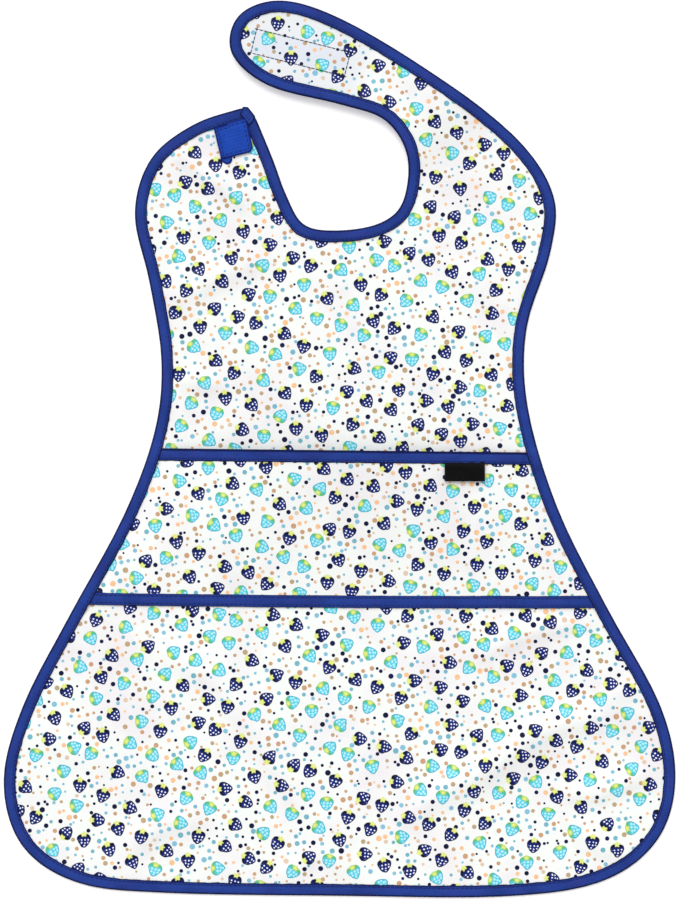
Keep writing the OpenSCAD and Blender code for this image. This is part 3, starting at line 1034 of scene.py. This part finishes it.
def stitches(name, places, material, length=STITCH_LENGTH, radius=STITCH_RADIUS):
    """A row of stitches. Each place is (point, direction, the side on which the stitch shows)."""
    t = np.linspace(-1, 1, 6)[:, None]
    girth = radius * np.sqrt(np.maximum(1 - (t * 0.96) ** 4, 0))
    dip = -radius * 1.3 * t ** 4
    angles = angles_round(6)
    parts = []
    for point, ahead, up in places:
        middles = point + ahead * t * length / 2 + up * dip
        rings = round_rings(middles, np.cross(up, ahead)[None], up[None], girth, angles)
        rest = np.stack(np.broadcast_arrays(t * length / 2, angles * MM), axis=2)
        parts.append((rings, rest))
    return tubes_piece(name, parts, material)


UP, DOWN = np.array((0.0, 0.0, 1.0)), np.array((0.0, 0.0, -1.0))


def seam(line, up=UP, lift=0.08 * MM):
    """Places for stitches, STITCH_PITCH apart along a line of 3-D points and lifted off it on the side up."""
    line = line + up * lift
    along = lengths_along(line)
    count = max(1, round(along[-1] / STITCH_PITCH))
    at = (np.arange(count) + 0.5) * along[-1] / count
    ahead = units(points_along(line, at + 0.4 * MM) - points_along(line, at - 0.4 * MM))
    return list(zip(points_along(line, at), ahead, [up] * count))


SEAM_INDEX = 4              # the section's point at the bottom of the stitch groove
UNDER_INDEX = 2 * len(TAPE_SECTION) - SEAM_INDEX
for zone, (_, node, *_) in ZONE_NODES.items():
    places = []
    for run in runs(list(ring_zones == zone)):
        places += seam(ring_points[run, SEAM_INDEX])
        places += seam(ring_points[run, UNDER_INDEX], DOWN, lift=0.02 * MM)
    piece = stitches(f"stitches_{zone}", places, THREAD)
    stand_in(piece, "sewing_thread", node)
    follow(piece, zone)

# ---------------------------------------------------------------- the pocket

POCKET_LOW = BOTTOM_BOX[0].y + 2.5 * MM     # the pocket's bottom edge, under the seam tape
POCKET_RISE = MOUTH_BOX[1].z - CLOTH_TOP - POCKET_GAP - POCKET_TAPE_THICK
MOUTH_LEFT = side_x(MOUTH_TOP, -1, TAPE_WIDTH)


def pocket_surface(x, y):
    """The height of the pocket sheet's middle: flat along its seams and bowed at its mouth."""
    low = np.array([side_x(v, -1, TAPE_WIDTH) for v in y])
    high = np.array([side_x(v, 1, TAPE_WIDTH) for v in y])
    across = np.clip((2 * x - low - high) / (high - low), -1, 1)
    up = np.clip((y - BOTTOM_BOX[1].y) / (MOUTH_TOP - BOTTOM_BOX[1].y), 0, 1)
    base = CLOTH_TOP + POCKET_GAP + (CLOTH_THICK + (POCKET_TAPE_THICK - CLOTH_THICK) * up) / 2
    return base + POCKET_RISE * up * np.cos(across * math.pi / 2)


def pocket_wrinkles(x, y):
    """Soft hollows and low ripples that run up from the pocket's bottom seam."""
    places = np.column_stack([x, y])
    up = np.clip((y - BOTTOM_BOX[1].y) / (MOUTH_LOW - BOTTOM_BOX[1].y), 0, 1)
    inside = ease(np.minimum(x - MOUTH_LEFT, MOUTH_RIGHT - x), -25 * MM, 40 * MM)
    gathers = line_noise(x, 13 * MM, 0, 8)
    waves = smooth_noise(places, 42 * MM, 9)
    gathered = gathers * np.exp(-up * 4) * smoothstep(up * 12)
    return inside * (0.5 * MM * waves * np.sin(np.pi * up) + 0.35 * MM * gathered)


POCKET_ROWS, POCKET_COLUMNS = 30, 46
SEWN_LEVEL = CLOTH_TOP + 0.25 * MM          # of the pocket's cloth where it is sewn down
SEWN_TAPE_LEVEL = CLOTH_TOP + 0.62 * MM     # and of its mouth tape, under the edge tape


def pocket_half(side, name):
    """One half of the pocket's cloth, from the middle of the bib to the edge tape."""
    rows = []
    for row in range(POCKET_ROWS):
        level_y = POCKET_LOW + (MOUTH_LOW + 2 * MM - POCKET_LOW) * row / (POCKET_ROWS - 1)
        x = np.linspace(0, side_x(level_y, side, POCKET_TUCK), POCKET_COLUMNS)
        y = level_y + tilt(x) * row / (POCKET_ROWS - 1)
        z = pocket_surface(x, y) + pocket_wrinkles(x, y)
        under = ease(np.abs(x), abs(side_x(level_y, side, TAPE_WIDTH)) - 7 * MM, 5 * MM)
        z = z * (1 - under) + SEWN_LEVEL * under
        rows.append(np.column_stack([x, y, np.where(y < BOTTOM_BOX[1].y, SEWN_LEVEL, z)]))
    points = np.concatenate(rows)
    flat = points[:, :2]
    faces = grid_faces(POCKET_ROWS, POCKET_COLUMNS)
    if side < 0:
        faces = faces[:, ::-1]
    piece = shell(name, points, faces, flat, CLOTH_THICK, [PRINT_POCKET, BACKING])
    return piece, cut_of(flat, faces)


def gape(piece):
    """Bakes a pocket piece's place into its mesh."""
    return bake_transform(piece)


# The mouth tape's section, all the way round: y up from its lower edge and the height from its middle.
MOUTH_SECTION = np.array([
    (0.0, 0.3), (0.25, 0.66), (1.2, 0.74), (1.5, 0.68), (1.7, 0.65), (1.9, 0.69), (2.4, 0.78), (4.2, 0.82),
    (6.3, 0.8), (7.4, 0.62), (7.9, 0.25), (8.0, 0.0), (7.9, -0.25), (7.4, -0.62), (6.3, -0.78), (4.2, -0.8),
    (1.9, -0.62), (0.25, -0.62), (0.0, -0.3),
]) * MM
MOUTH_SEAM = 4              # the section's point at the bottom of the stitch groove
TAPE_STEPS = 90


def mouth_rings(side):
    """Sections of the mouth tape from the middle of the bib to under the edge tape."""
    x = np.linspace(0, side_x(MOUTH_TOP - TAPE_WIDTH / 2, side, POCKET_TUCK), TAPE_STEPS)
    lip = line_noise(x, 5 * MM, 1, 6) * 0.28 * MM
    puff = 1 + 0.12 * line_noise(x, 3.6 * MM, 2, 6)
    under = ease(np.abs(x), abs(side_x(MOUTH_TOP, side, TAPE_WIDTH)) - 3 * MM, 3 * MM)
    lines = []
    for share, height in MOUTH_SECTION:
        up = share * (MOUTH_TOP - MOUTH_LOW) / TAPE_WIDTH
        y = MOUTH_LOW + up + tilt(x) + (lip if up < MM else 0)
        surface = pocket_surface(x, y)
        surface = surface * (1 - under) + SEWN_TAPE_LEVEL * under
        z = surface + height * puff * (1 - 0.3 * under)
        lines.append((np.column_stack([x, y, z]), TAPE_WIDTH - up))
    rings, rest = rings_of(lines, x)
    return rings[::side], rest[::side]


for side, word in ((-1, "left"), (1, "right")):
    cloth, cut = pocket_half(side, f"pocket_cloth_{word}")
    rings, rest = mouth_rings(side)
    tape = tubes_piece(f"mouth_tape_{word}", [(rings, rest)], TAPE, cut=True)
    thread = stitches(f"mouth_stitches_{word}", seam(rings[:, MOUTH_SEAM]), THREAD)
    stand_in(cloth, "printed_cloth", "pocket_panel")
    stand_in(tape, "edge_tape", "pocket_mouth_binding")
    stand_in(thread, "sewing_thread", "pocket_mouth_stitching")
    for piece in (cloth, tape, thread):
        gape(piece)

# The section of the tape over the pocket's bottom edge: y up from its lower edge and z above the cloth.
SEAM_SECTION = np.array([
    (0.0, 0.15), (0.1, 0.72), (0.5, 0.98), (1.3, 0.96), (1.7, 0.88), (2.1, 0.97), (4.0, 1.04), (5.9, 0.97),
    (6.3, 0.88), (6.7, 0.96), (7.5, 0.98), (7.9, 0.72), (8.0, 0.15), (4.0, 0.3),
]) * MM
SEAM_ROWS = (4, 8)          # the section's points at the bottoms of its two stitch grooves
SEAM_STRETCH = 1.06         # it is sewn a little wider than it was cut


def bottom_rings():
    """Sections of the bottom tape, from under the edge tape on one side to under it on the other."""
    left = side_x(SEAM_Y, -1, POCKET_TUCK)
    x = np.linspace(left, RIGHT_END, 2 * TAPE_STEPS)
    wander = sway(x) + line_noise(x, 30 * MM, 3, 2) * 0.3 * MM
    puff = 1 + 0.09 * line_noise(x, 3.3 * MM, 5, 9)
    tuck = ease(np.abs(x), min(-left, RIGHT_END) - 6 * MM, 3 * MM)
    lines = []
    for up, height in SEAM_SECTION:
        lip = line_noise(x, 4.5 * MM, up / MM, 9) * 0.14 * MM
        y = BOTTOM_BOX[0].y + up * SEAM_STRETCH + wander + lip
        z = CLOTH_TOP + height * puff * (1 - 0.15 * tuck)
        lines.append((np.column_stack([x, y, z]), abs(up - TAPE_WIDTH / 2) + 3.7 * MM))
    return rings_of(lines, x)


rings, rest = bottom_rings()
bottom_tape = tubes_piece("bottom_tape", [(rings, rest)], SEAM_TAPE, cut=True)
bottom_seams = [place for row in SEAM_ROWS for place in seam(rings[:, row])]
bottom_stitches = stitches("bottom_stitches", bottom_seams, THREAD)
stand_in(bottom_tape, "edge_tape", "pocket_bottom_tape")
stand_in(bottom_stitches, "sewing_thread", "pocket_bottom_stitching")
for piece in (bottom_tape, bottom_stitches):
    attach(piece, "front")

# ---------------------------------------------------------------- the label

LABEL_ROWS, LABEL_COLUMNS = 14, 28
LABEL_THICK = 0.55 * MM
LABEL_UNDER = 2.5 * MM      # how far it reaches up behind the mouth tape
LABEL_LOW = LABEL_BOX[0].y + 1.3 * MM
LABEL_LENGTH = MOUTH_LOW + LABEL_UNDER - LABEL_LOW


def make_label():
    """A folded label that hangs from under the mouth tape, its free edge a little off the cloth."""
    left, right = LABEL_BOX[0].x, LABEL_BOX[1].x
    row, column = np.divmod(np.arange(LABEL_ROWS * LABEL_COLUMNS), LABEL_COLUMNS)
    u, v = column / (LABEL_COLUMNS - 1), row / (LABEL_ROWS - 1)
    x, y = left + (right - left) * u, LABEL_LOW + LABEL_LENGTH * v + tilt(left)
    free = 1 - ease(y, MOUTH_LOW - 2 * MM, 2 * MM)
    curl = (0.75 + 0.5 * (1 - v) ** 2 + 0.3 * (2 * u - 1) ** 2 * (1 - v)) * MM
    points = np.column_stack([x, y, pocket_surface(x, y) + 0.4 * MM + curl * free])
    flat = np.column_stack([x - (left + right) / 2, y])
    faces = grid_faces(LABEL_ROWS, LABEL_COLUMNS)
    return shell("label_cloth", points, faces, flat, LABEL_THICK, [LABEL, LABEL])


label = make_label()
stand_in(label, "label_cloth", "label")
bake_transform(label)

# ---------------------------------------------------------------- hook and loop patches


def turned(points, place):
    """Flat points turned about the origin and moved, where place is (turn, new origin)."""
    turn, middle = place
    c, s = math.cos(turn), math.sin(turn)
    return points @ np.array([[c, s], [-s, c]]) + middle


# A patch's section: the way in from its edge, and the share of its thickness. Its seam is sunk a little.
PATCH_SECTION = np.array([
    (0.0, 0.35), (0.2, 0.8), (0.7, 1.0), (1.8, 0.97), (PATCH_SEAM / MM, 0.7), (3.0, 0.97), (3.6, 1.0),
])


ROUNDING = 0.4 * MM         # of a patch's corners


def patch(name, outline, place, base, face, material, step=0.6 * MM):
    """A flat woven patch between two heights, with rounded edges. It faces down if face is below base."""
    rim = softened(resampled(outline, step), ROUNDING, step)
    rim_tree = tree_of(rim)
    low, high = rim.min(0), rim.max(0)
    spots = [(x, y) for x in np.arange(low[0], high[0], step) for y in np.arange(low[1], high[1], step)]
    inner = list(np.array(spots)[distances(rim_tree, spots) > step * 0.6])
    flat, faces = triangulated(list(rim) + inner, loop_edges(len(rim)), 1e-7)
    used, faces = renumbered(faces)
    flat, count = flat[used], len(used)
    inwards = distances(rim_tree, flat)
    share = np.interp(inwards, PATCH_SECTION[:, 0] * MM, PATCH_SECTION[:, 1])
    xy = turned(flat, place)
    raised = np.column_stack([xy, base + (face - base) * share])
    level_side = np.column_stack([xy, np.full(count, base)])
    all_faces = closed(faces, count)
    if face < base:
        all_faces = [f[::-1] for f in all_faces]
    rest = np.column_stack([flat[:, 0], np.minimum(inwards, 5.5 * MM)])
    both = np.concatenate([raised, level_side])
    return add_mesh(name, both, all_faces, np.concatenate([rest, rest]), [material])


SKEW = (0.31, 0.53, 0.1)    # any direction in which no hook or loop runs
TUBE_APART = 0.013


def curved_tubes(name, paths, radius, material, sides=4):
    """Many short thin tubes. Their rest tells the tubes apart in x, and gives the share of height in y."""
    parts = []
    for number, path in enumerate(paths):
        ahead = units(np.gradient(path, axis=0))
        side = units(np.cross(ahead, SKEW))
        rings = round_rings(path, side, np.cross(ahead, side), radius, angles_round(sides))
        share = (path[:, 2] - path[:, 2].min()) / np.ptp(path[:, 2])
        rest = np.column_stack([np.full(len(path), number * TUBE_APART), share])
        parts.append((rings, np.repeat(rest[:, None], sides, axis=1)))
    return tubes_piece(name, parts, material)


HOOK_PLACE = math.radians(15), flat_middle(HOOK_BOX)
hook_outline = np.array([(-10.0, 10.6), (-10.6, -11.0), (9.4, -11.3), (12.0, -9.0), (13.0, 11.8), (0.0, 11.8),
                         (-1.0, 10.8)]) * MM
hook_corner = np.array([(-10.8, -9.0), (-11.2, -11.6), (-8.0, -15.0), (-5.4, -15.2), (-3.4, -13.1),
                        (-3.0, -9.5)]) * MM
HOOK_BASE = HOOK_BOX[0].z + 0.55 * MM
HOOK_ROWS = np.arange(-7.2, 7.4, 1.05) * MM
HOOK_COLUMNS = np.arange(-6.6, 8.9, 0.95) * MM
ROW_SHIFT = 0.4 * MM        # of every other row of hooks
# A hook's bent wire: how far it reaches sideways, and the share of its height.
HOOK_REACHES = np.array([0.0, 0.02, 0.14, 0.34, 0.5, 0.54]) * MM
HOOK_SHARES = np.array([0.0, 0.55, 0.9, 1.0, 0.8, 0.6])
SUNK = 0.03 * MM            # of the feet of hooks and loops in their base


def hook_paths():
    """The hooks, in rows that reach to one side and to the other in turn."""
    paths = []
    for row, y in enumerate(HOOK_ROWS):
        way = 1 if row % 2 else -1
        for x in HOOK_COLUMNS + (row % 2) * ROW_SHIFT:
            tall = HOOK_BOX[1].z - HOOK_BASE - 0.06 * MM + random.uniform(-0.06, 0.0) * MM
            lean, slip = random.uniform(-0.25, 0.25) * MM, random.uniform(-0.3, 0.3) * MM
            flat = np.column_stack([x + lean * HOOK_SHARES, y + slip + way * HOOK_REACHES])
            paths.append(np.column_stack([turned(flat, HOOK_PLACE), HOOK_BASE - SUNK + tall * HOOK_SHARES]))
    return paths


def patch_seam(outline, inside, place, height, step=0.5 * MM):
    """Places for stitches inside a patch's outline, at a height given as a function of flat points."""
    line = resampled(softened(resampled(outline, step), ROUNDING, step), step)
    xy = turned(line + inward_of(line) * inside, place)
    return seam(looped(np.column_stack([xy, height(xy)])), lift=0)


def hook_height(xy):
    return np.full(len(xy), HOOK_BASE)


hook_base = patch("hook_patch_base", hook_outline, HOOK_PLACE, HOOK_BOX[0].z, HOOK_BASE, HOOK_TAPE)
corner_top = HOOK_BOX[0].z - 0.05 * MM
hook_turn_under = patch("hook_patch_corner", hook_corner, HOOK_PLACE, CLOTH_TOP, corner_top, HOOK_TAPE)
hooks = curved_tubes("hook_patch_hooks", hook_paths(), 0.085 * MM, HOOKS)
hook_seam = patch_seam(hook_outline, PATCH_SEAM, HOOK_PLACE, hook_height)
hook_stitches = stitches("hook_patch_stitches", hook_seam, THREAD, 2.5 * MM, 0.24 * MM)
stand_in(hook_base, "hook_tape", "hook_patch")
stand_in(hook_turn_under, "hook_tape")
stand_in(hooks, "hook_tape")
stand_in(hook_stitches, "sewing_thread", "hook_patch_stitching")
for piece in (hook_base, hook_turn_under, hooks, hook_stitches):
    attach(piece, "front")

LOOP_BASE = LOOP_BOX[1].z - 0.5 * MM
EDGE_CLEAR = TAPE_WIDTH + 0.3 * MM
loop_outline = np.array([(-1, 1), (-1, -1), (1, -1), (1, 1)]) * (LOOP_LENGTH / 2, LOOP_WIDTH / 2)


def patch_inside_tape(points):
    """Flat points of the loop patch, drawn back where they would lie under the edge tape."""
    back = []
    for x, y in turned(points, LOOP_PLACE):
        _, index, distance = EDGE_TREE.find((x, y, 0))
        room = max(0.0, EDGE_CLEAR - distance)
        back.append((x, y) + INWARD[index] * room)
    return turned(np.array(back) - LOOP_MIDDLE, (-LOOP_TURN, flat_point(0, 0)))


def field(length, step):
    """Places along one side of the loop patch, clear of its edges."""
    return np.arange(-length / 2 + 2.2 * MM, length / 2 - 2 * MM, step)


def loop_paths():
    """The loops, each turned and leaning its own way, where they are clear of the edge tape."""
    tallest = LOOP_BASE - LOOP_BOX[0].z - 0.05 * MM
    t = np.linspace(0, math.pi, 7)
    paths = []
    for x, y in ((x, y) for x in field(LOOP_LENGTH, 1.25 * MM) for y in field(LOOP_WIDTH, 1.15 * MM)):
        at = np.array([(x + random.uniform(-0.4, 0.4) * MM, y + random.uniform(-0.4, 0.4) * MM)])
        middle = turned(at, LOOP_PLACE)[0]
        if EDGE_TREE.find((*middle, 0))[2] < EDGE_CLEAR + 1.5 * MM:
            continue
        turn, wide = random.uniform(0, math.pi), random.uniform(0.45, 0.8) * MM
        tall = tallest * random.uniform(0.7, 1.0)
        lean = random.uniform(-0.4, 0.4) * MM
        along = flat_point(math.cos(turn), math.sin(turn))
        out = np.cos(t) * wide * (1 + 0.25 * np.sin(t))
        xy = middle + out[:, None] * along + (lean * np.sin(t))[:, None] * (-along[1], along[0])
        paths.append(np.column_stack([xy, LOOP_BASE + SUNK - tall * np.sin(t)]))
    return paths


def strap_face(xy):
    return cloth_heights(xy) + CLOTH_THICK / 2 + 0.02 * MM


loop_edge = patch_inside_tape(resampled(loop_outline, MM))
loop_base = patch("loop_patch_base", loop_edge, LOOP_PLACE, LOOP_BOX[1].z, LOOP_BASE, HOOK_TAPE)
loops = curved_tubes("loop_patch_loops", loop_paths(), 0.07 * MM, LOOPS, sides=3)
loop_seam = patch_seam(loop_outline, 1.8 * MM, LOOP_PLACE, strap_face)
loop_stitches = stitches("loop_patch_stitches", loop_seam, DARK_THREAD, 3.7 * MM, 0.3 * MM)
stand_in(loop_base, "loop_tape", "loop_patch")
stand_in(loops, "loop_tape")
stand_in(loop_stitches, "sewing_thread", "loop_patch_stitching")
for piece in (loop_base, loops, loop_stitches):
    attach(piece, "strap_end")

# ---------------------------------------------------------------- the tape's turned-over end

# The end of the tape is turned over the corner of the shoulder, from its tip down to the neck side.
TAPE_END = np.array([(-64.7, 229.6), (-67.4, 224.2), (-63.6, 220.2), (-60.6, 215.8), (-57.0, 219.6),
                     (-56.4, 223.2), (-61.3, 229.4)]) * MM
TAPE_END_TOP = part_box("binding_end_tuck")[1].z
end_middle = TAPE_END.mean(0)
tuck = patch("tape_end", TAPE_END - end_middle, (0.0, end_middle), 0.3 * MM, TAPE_END_TOP, TAPE)
stand_in(tuck, "edge_tape", "binding_end_tuck")
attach(tuck, "front")

# ---------------------------------------------------------------- floor, light and camera


def make_floor():
    """A pale floor that glows faintly, as a light table does, so that the shadows on it stay pale."""
    n = Nodes("floor")
    place = n.add("ShaderNodeTexCoord", {}).outputs["Object"]
    shade = n.noise(place, 6.0, 3.0)
    colour = n.between(shade, 0.3, 0.7, rgb(252, 252, 252), rgb(249, 249, 250))
    material = n.finish(colour, 0.9, Specular_IOR_Level=0.1, Emission_Strength=0.2)
    size = 15.0
    floor = add_mesh("floor", [(-size, -size, 0), (size, -size, 0), (size, size, 0), (-size, size, 0)],
                     [(0, 1, 2, 3)], materials=[material])


def add_sun(name, towards, strength, spread):
    """A wide soft lamp, so far away that it lights the whole bib evenly."""
    data = bpy.data.lights.new(name, "SUN")
    data.energy, data.angle = strength, math.radians(spread)
    light = bpy.data.objects.new(name, data)
    light.location = towards
    light.rotation_euler = (-Vector(towards)).to_track_quat("-Z", "Y").to_euler()
    bpy.context.scene.collection.objects.link(light)


make_floor()
add_sun("key", (-0.45, 1.3, 1.15), 2.35, 50)
world = bpy.data.worlds.new("studio")
world.use_nodes = True
world.node_tree.nodes["Background"].inputs["Color"].default_value = (1.0, 0.985, 1.0, 1)
world.node_tree.nodes["Background"].inputs["Strength"].default_value = 0.69
bpy.context.scene.world = world
bpy.context.scene.view_settings.view_transform = "Standard"

SEEN_LENGTH = 602.5 * MM    # of the table, from the top of the picture to its bottom
camera_data = bpy.data.cameras.new("camera")
camera_data.lens = 90
camera = bpy.data.objects.new("camera", camera_data)
camera.location = (0, 0, SEEN_LENGTH * camera_data.lens / camera_data.sensor_width)
bpy.context.scene.collection.objects.link(camera)
bpy.context.scene.camera = camera
